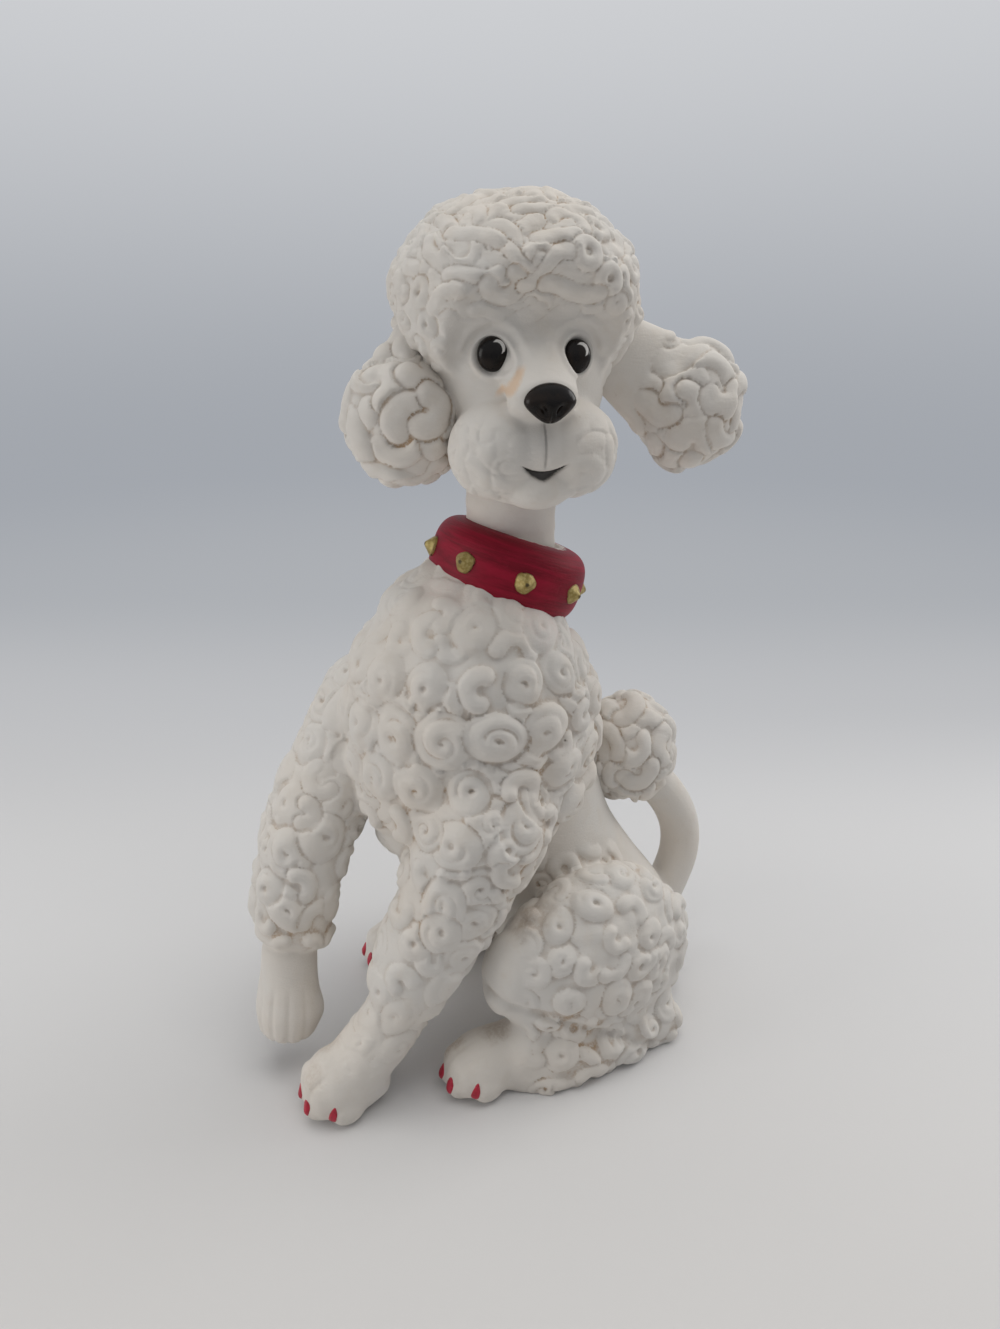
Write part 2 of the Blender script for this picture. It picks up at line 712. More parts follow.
def painted_bisque(name, stains=(), features=None):
    """Matte off-white paint on fired clay: faint brush marks, handling grime in the creases,
    stains given as (place, radius, colour, strength), and features painted over it."""
    material, shader, wire = new_material(name)
    place = wire.place()
    cavity = wire.attribute("cavity")
    cloud = place.noise(38, 3)
    patch = place.stretched((1, 1, 0.8)).noise(9, 4, 0.6)
    speck = place.noise(1.3, 3, 0.7)
    paint = cloud.between(0.35, 0.65).blend((0.735, 0.705, 0.665, 1), (0.75, 0.70, 0.64, 1))
    paint = (patch.between(0.52, 0.72) * 0.35).blend(paint, (0.69, 0.625, 0.55, 1))
    for spot, radius, colour, strength in stains:
        ragged = place.distance(spot) + (place.noise(radius * 0.35, 3) - 0.5) * radius * 0.9
        shown = ragged.between(radius, radius * 0.3) * (speck.between(0.35, 0.6) * 0.6 + 0.4)
        paint = (shown * strength).blend(paint, (*colour, 1))
    worn = cloud.between(0.38, 0.62) * patch.between(0.42, 0.62) * 0.85 + 0.15
    paint = (cavity.between(0.08, 0.7) * 0.32).blend(paint, (0.48, 0.43, 0.38, 1))
    grime = cavity.between(0.12, 0.6) * worn * speck.between(0.3, 0.6)
    paint = (grime * 0.85).blend(paint, (0.42, 0.26, 0.13, 1))
    dots = place.noise(3.2, 2, 0.6).between(0.72, 0.80) * patch.between(0.5, 0.65) * 0.25
    paint = dots.blend(paint, (0.42, 0.33, 0.24, 1))
    if features:
        paint = features(place, paint)
    brush = place.stretched((1, 1, 3.2)).noise(3.4, 3, 0.6)
    grain = place.noise(0.7, 2, 0.6)
    relief = brush * 0.7 + grain * 0.3
    feed(shader, Base_Color=paint, Roughness=0.66 + patch * 0.16)
    feed(shader, Specular_IOR_Level=0.35, Normal=bumps(relief, 0.35, 0.7))
    return material


COAT_BASE, COAT_TOP = 84.0, 203.0
COAT_WIDTH, COAT_DEPTH, CHEST_LEAD = 90.0, 102.0, 16.0
COAT_ROWS = [
    (0.06, 0.55, 0.66, 0.62),
    (0.14, 0.80, 0.86, 0.82),
    (0.28, 0.98, 0.98, 0.96),
    (0.54, 1.00, 1.00, 0.99),
    (0.72, 0.88, 0.92, 0.91),
    (0.87, 0.54, 0.75, 0.69),
    (0.97, 0.16, 0.52, 0.46),
]
COAT_TALL = COAT_TOP - COAT_BASE
coat_stations = [
    (0, -lead * CHEST_LEAD, COAT_BASE + up * COAT_TALL, wide * COAT_WIDTH / 2, deep * COAT_DEPTH / 2)
    for up, lead, wide, deep in COAT_ROWS
]
LEG_TOP, LEG_CUFF, LEG_GIRTH, WRIST_GIRTH = (34, -24, 122), (30, -62, 39), 37, 26
LEG_ROWS = [
    (-0.10, -0.02, 0.80, 0.96),
    (0.06, -0.02, 1.16, 1.34),
    (0.25, -0.02, 1.10, 1.32),
    (0.50, -0.02, 1.02, 1.16),
    (0.75, 0.00, 0.94, 0.98),
    (0.93, -0.01, 0.84, 0.88),
]
WRIST_ROWS = [(0.00, -0.04, 0.98, 0.96), (0.50, -0.04, 0.98, 0.96), (1.00, 0.00, 0.94, 0.84)]
RAISED_SHOULDER, RAISED_CUFF, RAISED_TIP = (-30, -44, 152), (-6, -95, 53), (0, -100, 20.4)
RAISED_GIRTH, RAISED_PAW_GIRTH = 35, 27
RAISED_ROWS = [
    (-0.08, -0.02, 0.72, 0.72),
    (0.06, 0.01, 1.06, 1.06),
    (0.22, 0.04, 1.08, 1.08),
    (0.50, 0.07, 1.06, 1.04),
    (0.76, 0.05, 1.02, 1.00),
    (0.95, 0.01, 0.88, 0.86),
]
RAISED_PAW_ROWS = [
    (0.00, 0.00, 0.82, 0.82),
    (0.30, 0.00, 0.84, 0.84),
    (0.68, 0.00, 1.00, 0.92),
    (1.00, 0.00, 0.92, 0.78),
]
PAW_ROWS = [
    (0.00, 0.00, 0.80, 0.92),
    (0.35, 0.00, 0.94, 1.02),
    (0.72, 0.02, 1.02, 1.02),
    (1.00, 0.02, 0.88, 0.82),
]
TOE_SIZE = (9.5, 15, 13)
TOE_PLACES = [(-0.37, 0.55), (-0.14, 0), (0.14, 0), (0.37, 0.55)]


def toe_centres(ball, width):
    """Where the middles of a paw's four toes are, and how far each is turned outwards."""
    return [
        ((ball[0] + spread * width, ball[1] + back * TOE_SIZE[1], TOE_SIZE[2] / 2), spread * math.pi / 4)
        for spread, back in TOE_PLACES
    ]


def turned(points, centre, angle):
    """Points turned about an upright line through the centre."""
    cos, sin = math.cos(angle), math.sin(angle)
    return (points - centre) @ np.array([[cos, sin, 0], [-sin, cos, 0], [0, 0, 1]]) + centre


def paw_forms(heel, ball, width, height):
    """A paw's low loft from heel to ball, with four toe eggs in an arc at its front."""
    toes = [
        turned(egg(place, TOE_SIZE), np.array(place), angle) for place, angle in toe_centres(ball, width)
    ]
    return [loft(limb(heel, ball, width, height, PAW_ROWS), dome=0.6), *toes]


FORE_HEEL, FORE_BALL, FORE_WIDTH, FORE_HEIGHT = (30, -74, 14), (29.5, -95, 9.8), 27, 28
INSTEP_SHARE = 0.65
instep = np.array(FORE_HEEL) + INSTEP_SHARE * (np.array(FORE_BALL) - np.array(FORE_HEEL))
mane, mane_middles = clumped(
    loft(coat_stations, dome=0.3, around=192, rows=110),
    coat_stations,
    rows=6,
    per_row=16,
    reach=11.5,
    tall=3.6,
    rest=0.85,
)
coat_forms = [
    mane,
    loft(limb(LEG_TOP, LEG_CUFF, LEG_GIRTH, LEG_GIRTH, LEG_ROWS), dome=0.35),
    loft(limb(LEG_CUFF, instep, WRIST_GIRTH, WRIST_GIRTH, WRIST_ROWS)),
    *paw_forms(FORE_HEEL, FORE_BALL, FORE_WIDTH, FORE_HEIGHT),
    loft(limb(RAISED_SHOULDER, RAISED_CUFF, RAISED_GIRTH, RAISED_GIRTH, RAISED_ROWS), dome=0.35),
    loft(limb(RAISED_CUFF, RAISED_TIP, RAISED_PAW_GIRTH, RAISED_PAW_GIRTH, RAISED_PAW_ROWS), dome=0.4),
]


def share_along(points, start, end):
    """How far each point is along the way from start to end, as a share of it."""
    run = np.subtract(end, start)
    return (points - start) @ run / (run @ run)


# The wrist and the toes stay smooth, and the step from the leg's curls to the wrist is eased
coat = Skin(coat_forms, voxel=0.8)
coat_rng = np.random.default_rng(7)

# x, y and z are views, so they follow the skin as it is worked
x, y, z = coat.points.T
on_raised = x < 12
leg_along = share_along(coat.points, LEG_TOP, LEG_CUFF)
raised_along = share_along(coat.points, RAISED_SHOULDER, RAISED_CUFF)
coat_curly = np.where(on_raised, between(-raised_along, -1.02, -0.93), between(-leg_along, -1.40, -0.98))
toes = between(-y, 84, 92) * between(-z, -24, -16)
coat.relax(5, 0.5)
coat.fill(30, 0.15 + 0.5 * coat_curly - 0.1 * toes)
cuff_step = between(-away_from(coat.points, LEG_CUFF), -34, -22) * ~on_raised
coat.relax(60, 0.5 * cuff_step)
coat.relax(4, 0.4)
leg_share = np.clip(np.where(on_raised, raised_along - 0.1, leg_along + 0.1), 0, 1)


def mane_curl(flat, place, rng):
    """A rosette, or one time in three a bent rope, smaller down the legs."""
    size = 1.0 if place[2] > 96 else 0.88
    tall = rng.uniform(2.3, 3.3)
    if rng.uniform() < 0.34:
        return bent_rope(flat, rng, (0.14, 0.26), (12, 19), (2.9, 3.9), tall, size)
    return rosette(flat, size * rng.uniform(8.4, 12.0), tall, rng)


coat_height = carve(
    coat, coat_curly > 0.2, 9.8, mane_curl, coat_rng, overlap=1.6, crack=1.5, kept_for=mane_middles
)
coat_height += 0.35 * ripple(coat.points, 11.0, coat_rng)

# The curls are softer on the chest's front, worn low on the legs and nearly flat at the collar
softer = between(-y, 40, 62) * between(z, 100, 120)
worn_low = np.where(on_raised, 0.25, 0.5) * between(leg_share, 0.35, 0.95)
at_collar = between(z, 166, 190)
coat_relief = coat_curly * (1 - worn_low) * (1 - 0.35 * softer) * (1 - 0.6 * at_collar)
coat_cavity = coat.dress(coat_relief, coat_height, sink=1.9)

# The raised paw has grooves between its toes, at these angles round it, and a thumb
TOE_GROOVES, THUMB = (-1.25, -0.72, -0.2, 0.32), (4, -88, 27)
raised_share = share_along(coat.points, RAISED_CUFF, RAISED_TIP)
axis = np.array(RAISED_CUFF) + raised_share[:, None] * (np.array(RAISED_TIP) - np.array(RAISED_CUFF))
paw_turn = np.arctan2(y - axis[:, 1], x - axis[:, 0])
on_paw = between(raised_share, 0.30, 0.62) * (away_from(coat.points, axis) < 19)
toe_groove = sum(bell(paw_turn - turn, 0.085) for turn in TOE_GROOVES)
thumb = bell(away_from(coat.points, THUMB), 6.5)
coat.swell(on_paw * (1.8 * thumb + 0.8 * between(raised_share, 0.55, 0.9) - 0.55 * toe_groove))


def part_toes(skin, ball, width):
    """Presses the grooves between a standing paw's toes and leaves a low knuckle on each."""
    x, y, z = (skin.points - (ball[0], ball[1], 0)).T
    front = between(-y, -12, -5) * between(z, 7, 11) * between(-z, -24, -19) * (abs(x) < 0.6 * width)
    lines = [share * (width + 0.3 * y) for share in (-0.255, 0, 0.255)]
    groove = sum(bell(x - line, 0.8) for line in lines)
    places = [np.add(centre, (0, 6, 9)) for centre, _ in toe_centres(ball, width)]
    knuckle = sum(bell(away_from(skin.points, spot), 3.6) for spot in places)
    skin.swell(front * (0.8 * knuckle - 0.6 * groove))


part_toes(coat, FORE_BALL, FORE_WIDTH)
coat.relax(1, 0.15)
coat.stand()
PINK, BROWN = (0.66, 0.40, 0.38), (0.38, 0.27, 0.18)
coat_bisque = painted_bisque(
    "coat_bisque",
    [
        ((10, -26, 190), 20, PINK, 0.2),
        ((24, -6, 186), 16, PINK, 0.2),
        ((24, -108, 12), 9, BROWN, 0.4),
        ((22, -88, 24), 10, BROWN, 0.35),
        ((32, -98, 20), 8, BROWN, 0.25),
        ((-14, -96, 58), 12, BROWN, 0.3),
    ],
)
piece(
    "coat_and_forelegs",
    coat.points,
    coat.faces.tolist(),
    coat_bisque,
    "bisque",
    ["torso_casting", "left_foreleg", "left_forepaw", "right_foreleg", "right_forepaw"],
    cavity=coat_cavity,
)


# Hindquarters: the smooth waist comes out from under the coat and widens to the rump. Thighs
# and the rolls of coat along the floor are curly again, and the paws and the tail are smooth.
TRUNK_ROWS = [
    (0.00, 0.00, 0.66, 0.74),
    (0.20, 0.02, 0.64, 0.72),
    (0.42, 0.03, 0.72, 0.74),
    (0.66, 0.02, 0.88, 0.86),
    (0.86, 0.00, 0.98, 0.96),
    (1.00, 0.00, 1.00, 1.00),
]
THIGH_ROWS = [
    (0.00, 0.00, 0.74, 0.78),
    (0.18, 0.00, 0.92, 0.92),
    (0.40, 0.02, 1.02, 1.02),
    (0.62, 0.00, 0.98, 0.94),
    (0.82, -0.02, 0.80, 0.72),
    (1.00, -0.04, 0.52, 0.44),
]
SHANK_ROWS = [
    (0.00, 0.00, 0.76, 0.84),
    (0.30, 0.00, 1.02, 0.98),
    (0.62, -0.02, 1.08, 1.18),
    (0.84, 0.00, 0.98, 1.56),
    (1.00, 0.10, 0.72, 1.50),
]
WAIST, RUMP, TRUNK_GIRTH = (0, 2, 130), (0, 44, 12), 84
HIP, KNEE, THIGH_WIDTH, THIGH_DEPTH = (38, 48, 34), (45, -22, 55), 46, 80
HOCK, INSTEP, SHANK_WIDTH, SHANK_DEPTH = (47.5, 48, 9), (47.5, -16, 12), 30, 27
LEFT_HIND_HEEL, RIGHT_HIND_HEEL, HIND_GIRTH = (43, -12, 12.5), (-43, -12, 12.5), 25
LEFT_HIND_BALL, RIGHT_HIND_BALL = (43, -41.5, 8.75), (-43, -46.5, 8.75)
TAIL_ROOT, TAIL_TIP, TAIL_BOW, TAIL_GIRTH = (0, 76, 22), (0, 66, 98), 17.5, 18
TAIL_BOWS = [0, 0.55, 0.95, 1, 0.7, 0.1]
tail_line = np.linspace(TAIL_ROOT, TAIL_TIP, len(TAIL_BOWS)) + np.outer(TAIL_BOWS, (0, TAIL_BOW, 0))
tail_stations = [(*spot, TAIL_GIRTH / 2, TAIL_GIRTH / 2) for spot in tail_line]
thigh = loft(limb(HIP, KNEE, THIGH_WIDTH, THIGH_DEPTH, THIGH_ROWS), dome=0.7)
shank = loft(limb(HOCK, INSTEP, SHANK_WIDTH, SHANK_DEPTH, SHANK_ROWS), dome=0.8)
hind_forms = [
    loft(limb(WAIST, RUMP, TRUNK_GIRTH, TRUNK_GIRTH, TRUNK_ROWS), dome=0.6),
    thigh,
    mirrored(thigh),
    shank,
    mirrored(shank),
    *paw_forms(LEFT_HIND_HEEL, LEFT_HIND_BALL, HIND_GIRTH, HIND_GIRTH),
    *paw_forms(RIGHT_HIND_HEEL, RIGHT_HIND_BALL, HIND_GIRTH, HIND_GIRTH),
    loft(tail_stations),
]
hind = Skin(hind_forms, voxel=0.8)
hind_rng = np.random.default_rng(11)
x, y, z = hind.points.T
flank = between(abs(x), 20, 27) * between(y, -24, -12) * between(-y, -92, -84) * between(-z, -93, -80)
hind.relax(5, 0.5)
hind.fill(30, 0.12 + 0.25 * between(z, 26, 60))
shin = between(-y, -14, 2) * between(abs(x), 34, 40)
hind.fill(70, 0.6 * shin * between(-z, -44, -36))
hind.relax(4, 0.4)


def haunch_curl(flat, place, rng):
    """A low rosette or a short bent rope."""
    if rng.uniform() < 0.6:
        return rosette(flat, rng.uniform(5.5, 9), 2.5, rng)
    return bent_rope(flat, rng, (0.12, 0.24), (11, 17), (2.6, 3.6), 2.4)


hind_height = carve(hind, flank > 0.2, 9.4, haunch_curl, hind_rng, overlap=1.2, crack=1.2)
hind_height += 0.3 * ripple(hind.points, 9.0, hind_rng)
hind_cavity = hind.dress(flank, hind_height, sink=1.6)

# A crease runs down each thigh from its front, between the haunch and the roll along the floor
CREASE = np.array([(-36, 50), (-24, 43), (-14, 39), (6, 27), (24, 15), (38, 6)], float)
crease_away, _ = from_line(hind.points[:, 1:], CREASE)
on_side = between(abs(x), 36, 44) * (z < 60)
crease = bell(crease_away, 2.3) * on_side
hind.swell(-2.6 * crease)
hind_cavity += 0.2 * crease
part_toes(hind, LEFT_HIND_BALL, HIND_GIRTH)
part_toes(hind, RIGHT_HIND_BALL, HIND_GIRTH)
hind.relax(1, 0.15)
hind.stand()
OCHRE = (0.55, 0.33, 0.12)
hind_bisque = painted_bisque(
    "hindquarters_bisque",
    [
        ((43, -14, 80), 16, BROWN, 0.4),
        ((44, -55, 5), 5, OCHRE, 0.6),
        ((34, -44, 20), 10, BROWN, 0.5),
        ((42, -26, 26), 9, BROWN, 0.4),
        ((58, -30, 36), 9, BROWN, 0.3),
    ],
)
piece(
    "hindquarters",
    hind.points,
    hind.faces.tolist(),
    hind_bisque,
    "bisque",
    ["left_thigh", "left_shank", "left_hind_paw", "right_thigh", "right_shank", "right_hind_paw", "tail"],
    cavity=hind_cavity,
)


# Tail pompon: a ball of clay on the tail's end, pressed against the coat and covered with
# broad bent ropes.
def pompon_curl(flat, place, rng):
    """A fat C of clay."""
    return bent_rope(flat, rng, (0.10, 0.22), (13, 20), (3.6, 4.8), 3.0)


POMPON_PLACE, POMPON_SIZE, POMPON_LOBES, LOBE_SWELL = (0, 57, 113), (43, 43, 51), 18, 0.12
pompon = Skin([lobed(POMPON_PLACE, POMPON_SIZE, POMPON_LOBES, LOBE_SWELL)], voxel=0.7)
pompon_rng = np.random.default_rng(5)
all_over = np.ones(pompon.count)
pompon_height = carve(pompon, all_over, 9.0, pompon_curl, pompon_rng, overlap=1.0, crack=1.6, bed=1.2)
pompon_height += 0.2 * ripple(pompon.points, 8.0, pompon_rng)
pompon_cavity = pompon.dress(all_over, pompon_height, sink=2.2)
pompon.relax(1, 0.15)
piece(
    "tail_pompon_curls",
    pompon.points,
    pompon.faces.tolist(),
    coat_bisque,
    "bisque",
    ["tail_pompon"],
    cavity=pompon_cavity,
)


# Neck: a plain pillar brushed round with paint, which the collar's crimson has stained.
NECK_GIRTH, NECK_FOOT, NECK_TOP = 33, 192, 244
neck_heights = np.linspace(NECK_FOOT, NECK_TOP, 4)
neck_rings = loft([(0, 0, height, NECK_GIRTH / 2, NECK_GIRTH / 2) for height in neck_heights], dome=0.2)

# Low waves where the brush has gone round
neck_rings[..., :2] *= 1 + 0.008 * np.sin(neck_rings[..., 2:] * 0.9 + np.sin(neck_rings[..., :1] * 0.3))
neck_bisque = painted_bisque(
    "neck_bisque",
    [
        ((8, -14, 242), 13, PINK, 0.5),
        ((14, 0, 238), 9, PINK, 0.35),
        ((12, -10, 214), 9, PINK, 0.25),
    ],
)
piece("neck_pillar", *pole_mesh(neck_rings), neck_bisque, "bisque", ["neck"])


# Collar: a fat band of clay with a squared section, leaning back on the neck and painted
# crimson with a wide brush that ran round it and left a ragged edge.
COLLAR_GIRTH, COLLAR_BAND, COLLAR_LEAN = 59, 27, math.radians(20)
COLLAR_PLACE = (0, -1.4, 201)
COLLAR_BULGE, COLLAR_BORE, COLLAR_SQUARENESS = 11.94, 32.8, 0.7
BULGE_STEPS, BORE_STEPS, COLLAR_SIDES = 72, 12, 240


def in_collar(points):
    """From the collar's own frame, whose axis is Z, into the figurine's."""
    cos, sin = math.cos(COLLAR_LEAN), math.sin(COLLAR_LEAN)
    return points @ np.array([[1, 0, 0], [0, cos, -sin], [0, sin, cos]]) + COLLAR_PLACE


# The section runs up over the bulge, a superellipse, and down again inside the bore
bulge_turn = np.linspace(-0.5, 0.5, BULGE_STEPS) * math.pi
bulge_out = COLLAR_GIRTH / 2 - COLLAR_BULGE + COLLAR_BULGE * np.cos(bulge_turn) ** COLLAR_SQUARENESS
bulge_rise = COLLAR_BAND / 2 * np.sign(bulge_turn) * abs(np.sin(bulge_turn)) ** COLLAR_SQUARENESS
section_out = np.concatenate([bulge_out, np.full(BORE_STEPS, COLLAR_BORE / 2)])
section_rise = np.concatenate([bulge_rise, np.linspace(COLLAR_BAND / 2, -COLLAR_BAND / 2, BORE_STEPS)])
collar_turn = full_turn(COLLAR_SIDES)
wobble = 1 + 0.006 * np.sin(2 * collar_turn + 1) + 0.004 * np.sin(5 * collar_turn)
collar_out = section_out[:, None] * wobble
collar_rise = section_rise[:, None] + 0 * collar_out
collar_points = np.stack(
    [collar_out * np.cos(collar_turn), collar_out * np.sin(collar_turn), collar_rise], -1
)
collar_faces = grid_faces(*collar_out.shape, closed_rows=True)

# Place across the band, from -1 to 1 over the bulge and more inside the bore, where it is bare
section_across = np.concatenate([np.linspace(-1, 1, BULGE_STEPS), np.full(BORE_STEPS, 1.4)])

collar_paint, shader, wire = new_material("crimson_collar")
place = wire.place()
across = wire.attribute("across")
slow = place.stretched((0.045, 0.045, 0.0))
streak_place = wire.node(
    "ShaderNodeCombineXYZ", {0: slow.coordinate("X"), 1: slow.coordinate("Y"), 2: across * 9}
)
streaks = streak_place.noise(0.8, 4, 0.65)
fine = place.noise(1.1, 3, 0.7)
crimson = streaks.between(0.3, 0.72).blend((0.17, 0.0012, 0.012, 1), (0.33, 0.006, 0.030, 1))
crimson = (fine.between(0.66, 0.8) * 0.25).blend(crimson, (0.42, 0.10, 0.11, 1))
edge = across.maths("ABSOLUTE") + (place.noise(4.5, 4, 0.6) - 0.5) * 0.24
bare = edge.between(0.955, 0.985)
feed(
    shader,
    Base_Color=bare.blend(crimson, (0.72, 0.66, 0.62, 1)),
    Roughness=0.42 + streaks * 0.22 + bare * 0.2,
    Specular_IOR_Level=0.22,
    Normal=bumps(streaks + fine * 0.3, 0.35, 0.8),
)
piece(
    "collar_band",
    in_collar(collar_points).reshape(-1, 3),
    collar_faces.tolist(),
    collar_paint,
    "crimson_paint",
    ["collar"],
    across=np.repeat(section_across, COLLAR_SIDES),
)


# Collar studs: low cones of clay pressed on round the band and touched with brass paint,
# each with a darker dot at its tip.
STUD_TALL, STUD_PHASE, STUD_COUNT, STUD_SIDES = 3.6, math.radians(31.2), 8, 48
stud_turn = full_turn(STUD_SIDES)
stud_rise = np.array([-2.2, -2.0, -0.3, 0.25, 0.7, 1.2, 1.8, 2.4, 2.9, 3.25, 3.42, 3.46])
stud_out = np.array([0, 3.5, 3.9, 3.8, 3.45, 2.9, 2.25, 1.65, 1.15, 0.7, 0.3, 0])
brass, shader, wire = new_material("brass_stud")
place = wire.place()
tip = wire.attribute("rise")
mottle = place.noise(1.6, 4, 0.6)
metal = mottle.between(0.35, 0.65).blend((0.30, 0.22, 0.06, 1), (0.50, 0.40, 0.16, 1))
metal = (tip.between(0.84, 0.95) * 0.9).blend(metal, (0.05, 0.032, 0.012, 1))
metal = (tip.between(0.2, 0.05) * mottle.between(0.4, 0.6)).blend(metal, (0.12, 0.01, 0.012, 1))
feed(shader, Base_Color=metal, Roughness=0.34 + mottle * 0.25, Metallic=0.4, Normal=bumps(mottle, 0.4, 0.8))
rise_share = np.clip(stud_rise / STUD_TALL, 0, 1)
rise_share = np.concatenate([rise_share[:1], np.repeat(rise_share[1:-1], STUD_SIDES), rise_share[-1:]])
for number in range(STUD_COUNT):
    turn = STUD_PHASE + number * 2 * math.pi / STUD_COUNT
    cos, sin = math.cos(turn), math.sin(turn)
    lumpy = 1 + 0.05 * np.sin(3 * stud_turn + number) + 0.03 * np.sin(5 * stud_turn + 2 * number)
    out = COLLAR_GIRTH / 2 + stud_rise[:, None] + 0 * stud_turn
    side = stud_out[:, None] * np.cos(stud_turn) * lumpy
    lift = stud_out[:, None] * np.sin(stud_turn) * lumpy
    stud = pole_mesh(in_collar(np.stack([out * cos - side * sin, out * sin + side * cos, lift], -1)))
    node = f"collar_stud_{number + 1}"
    piece(f"stud_{number + 1}", *stud, brass, "brass_paint", [node], rise=rise_share)


# Head: skull, muzzle and topknot were cast in one and turned to the figurine's left. The
# topknot and the nape are covered with bent ropes of clay; the face between them is smooth.
HEAD_TURN, HEAD_PLACE = math.radians(78), (0, 1.5, 286)
FACE_HALF, FACE_TOP, FACE_CORNER, WINDOW_BACK = 30.5, -7, 10, 20.46
BROW_LEAN = math.radians(32)
CROWN_PLACE, CROWN_SIZE, CROWN_LOBES, CROWN_SWELL = (0, 0, 10), (87.5, 84.5, 70.5), 44, 0.07
BROW, BRIDGE_TIP, MUZZLE_WIDTH = np.array([0, -22.3, -4]), np.array([0, -38.35, -19.6]), 57
EYE_ASIDE, EYE_RISE = 14, -6.6
SMILE_HALF, SMILE_DROP, SMILE_ARCH, SMILE_DEPTH = 7.9, 39.5, 2.5, 5.6


def in_head(points):
    """From the head's own frame, whose face looks along -Y, into the figurine's."""
    return turned(points, np.zeros(3), HEAD_TURN) + HEAD_PLACE


def window_top(aside):
    """The height of the face window's top edge inside the skull, rounded towards its sides."""
    corner = np.clip((abs(aside) - FACE_HALF + FACE_CORNER) / FACE_CORNER, 0, 1)
    return FACE_TOP - FACE_CORNER * (1 - np.sqrt(1 - corner**2))


# The face window cuts the crown off along a plane that leans forward over the brow
crown = lobed(CROWN_PLACE, CROWN_SIZE, CROWN_LOBES, CROWN_SWELL, around=220, rows=150)
leaning = np.maximum(crown[..., 2] - window_top(crown[..., 0]), 0) * math.tan(BROW_LEAN)
held = np.maximum(crown[..., 1], -WINDOW_BACK - leaning)
crown[..., 1] = np.where(abs(crown[..., 0]) < FACE_HALF, held, crown[..., 1])
bridge_stations = [
    (*(BROW + i / 2 * (BRIDGE_TIP - BROW)), wide * MUZZLE_WIDTH / 2, deep * MUZZLE_WIDTH / 2)
    for i, (wide, deep) in enumerate([(0.38, 0.20), (0.42, 0.28), (0.40, 0.34)])
]
nape = egg((0, 14, -14), (66, 50, 80))
skull = egg((0, 0, -12), (64, 62, 86))
lip = egg((0, -29.2, -35), (26.2, 28, 24.5))
chin = egg((0, -29.2, -47.9), (26.2, 26.4, 17))
puffs = [egg((hand * 12.5, -26, -37), (33, 34.4, 33.3)) for hand in (1, -1)]
head = Skin([crown, nape, skull, loft(bridge_stations, dome=0.6), lip, chin, *puffs], voxel=0.65)
head_rng = np.random.default_rng(3)
x, y, z = head.points.T
face = between(FACE_HALF - abs(x), -2, 3) * between(-z, -15, 1) * between(-y, 8, 16)
forehead = between(FACE_HALF + 6 - abs(x), 0, 6) * between(-y, 10, 16)
forehead *= between(z, -2, 4) * between(-z, -38, -30)
hairy = (1 - face) * between(z, -54, -46)
head.relax(6, 0.5)
head.fill(26, 0.2 + 0.3 * face)
head.relax(4, 0.4)
head.relax(90, 0.5 * forehead)


def topknot_curl(flat, place, rng):
    """A rope of clay bent to a C, S or J, here and there a ring, and on the sideburns a bead.
    The rings are mostly on the left temple."""
    if abs(place[0]) > 24 and place[2] < 14 and rng.uniform() < 0.75:
        return rosette(flat, rng.uniform(3.4, 5.2), 2.1, rng)
    if rng.uniform() < (0.6 if 14 < place[0] < 34 and 6 < place[2] < 32 else 0.04):
        return ring_curl(flat, rng.uniform(5.2, 6.6), 2.6)
    first = rng.choice([-1, 1]) * rng.uniform(0.04, 0.26)
    last = rng.choice([-1, 1]) * rng.uniform(0.06, 0.32)
    line = curl_line(rng.uniform(12, 20), first, last)
    return rope(flat, line, rng.uniform(2.6, 3.5), rng.uniform(1.7, 2.4))


head_height = carve(
    head, hairy > 0.15, 6.6, topknot_curl, head_rng, turn_spread=0.8, overlap=0.7, crack=1.2, bed=1.2
)
head_height += 0.2 * ripple(head.points, 6.0, head_rng)
head_cavity = head.dress(hairy, head_height, sink=1.5)


def cheek_curl(flat, place, rng):
    """A faint C of clay."""
    return bent_rope(flat, rng, (0.14, 0.24), (10, 15), (2.4, 3.2), 1.8)


cheeks = between(abs(x), 6, 12) * between(-y, 22, 28) * between(-z, 24, 30)
cheek_height = carve(head, cheeks > 0.2, 7.0, cheek_curl, head_rng, crack=1.0, bed=1.1)
head_cavity += 0.3 * cheeks * (head.soften(cheek_height, 12) - cheek_height)
head.swell(0.65 * cheeks * (cheek_height - 1.6))

# Each eye has a socket with a raised rim, and a brow over it
ahead = between(-y, 14, 20)
for hand in (-1, 1):
    aside = x - hand * EYE_ASIDE
    eye_share = np.hypot(aside / 5.2, (z - EYE_RISE) / 5.7)
    above = between(z + 6.5 + 0.25 * abs(aside), 1.5, 5)
    rim = 0.9 * bell(eye_share - 1.2, 0.13) - 1.2 * between(-eye_share, -1.05, -0.85)
    brow = 0.9 * bell(eye_share - 1.95, 0.30) * above
    head.points += head.normals() * ((rim + brow) * ahead)[:, None]

# The smile is a hollow between two arcs, with a thin groove above it up to the nose
smile_high = -SMILE_DROP - SMILE_ARCH * (1 - (x / SMILE_HALF) ** 2)
smile_low = -SMILE_DROP - SMILE_DEPTH * (1 - (abs(x) / SMILE_HALF) ** 1.5)
in_smile = between(smile_high - z, -0.4, 0.5) * between(z - smile_low, -0.4, 0.6) * (abs(x) < 8.2) * (y < -34)
head.points[:, 1] += 3.2 * in_smile
philtrum = bell(x, 0.55) * between(z, -41.5, -39.5) * between(-z, 24, 27) * (y < -34)
head.points[:, 1] += 0.8 * philtrum
head.relax(1, 0.15)
head_points = in_head(head.points)


